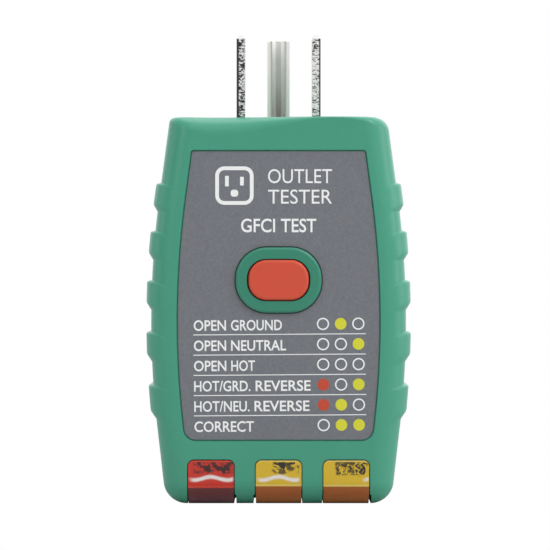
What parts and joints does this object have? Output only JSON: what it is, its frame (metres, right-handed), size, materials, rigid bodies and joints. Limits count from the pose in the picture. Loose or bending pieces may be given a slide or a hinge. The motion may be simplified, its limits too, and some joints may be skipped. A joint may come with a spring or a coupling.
{
  "type": "outlet tester plug",
  "caption": "Grounded three-prong outlet tester with a two-shell ribbed housing, a printed fault legend, a sprung test button and a row of tinted lamp windows at the foot.",
  "frame": {"origin": "on the surface the plug stands on, under the middle of its bounding box, at the lamp-window end", "axes": "+Z towards the prong tips, -Y out of the labelled front, +X to the right when the label is read"},
  "size_m": [0.0444, 0.028, 0.079],
  "materials": {
    "housing_green": "satin moulded ABS with a fine spark-eroded grain",
    "label_grey": "satin printed polycarbonate plate",
    "button_red": "smooth satin moulded ABS",
    "lens_red": "clear red-tinted polycarbonate",
    "lens_amber": "clear amber-tinted polycarbonate",
    "lamp_glass": "clear lamp glass",
    "lead_metal": "tinned wire",
    "baffle_white": "matte white moulding",
    "board_laminate": "solder-masked glass laminate",
    "resistor_tan": "lacquered resistor bodies",
    "resistor_slate": "flameproof resistor coating",
    "switch_black": "black moulded nylon",
    "contact_brass": "bright brass",
    "spring_steel": "drawn spring wire",
    "prong_nickel": "nickel-plated brass, sheared edges",
    "carrier_black": "black phenolic",
    "wire_white": "white insulation",
    "wire_black": "black insulation",
    "wire_green": "green insulation",
    "screw_steel": "zinc-plated steel",
    "print_white": "white screen print",
    "print_yellow": "yellow screen print",
    "print_red": "red screen print"
  },
  "bodies": {
    "housing": {"front_shell": "housing_green", "rear_shell": "housing_green", "label_panel": "label_grey", "lens_red": "lens_red", "lens_amber_centre": "lens_amber", "lens_amber_right": "lens_amber", "lamp_glass_left": "lamp_glass", "lamp_glass_centre": "lamp_glass", "lamp_glass_right": "lamp_glass", "lamp_electrodes_left": "lead_metal", "lamp_electrodes_centre": "lead_metal", "lamp_electrodes_right": "lead_metal", "lamp_baffle": "baffle_white", "circuit_board": "board_laminate", "lamp_resistors": "resistor_tan", "test_resistor": "resistor_slate", "switch_base": "switch_black", "fixed_contacts": "contact_brass", "button_spring": "spring_steel", "neutral_blade": "prong_nickel", "hot_blade": "prong_nickel", "ground_pin": "prong_nickel", "prong_carrier": "carrier_black", "neutral_wire": "wire_white", "hot_wire": "wire_black", "ground_wire": "wire_green", "housing_screws": "screw_steel", "board_screws": "screw_steel"},
    "button": {"test_button": "button_red", "contact_bridge": "contact_brass"}
  },
  "joints": [
    {"name": "button_press", "type": "slide", "parent": "housing", "child": "button", "axis": [0, 1, 0], "range_m": [0, 0.0015], "stiffness_N_per_m": 400, "springref_m": -0.0015, "deforming": ["button_spring"]}
  ]
}
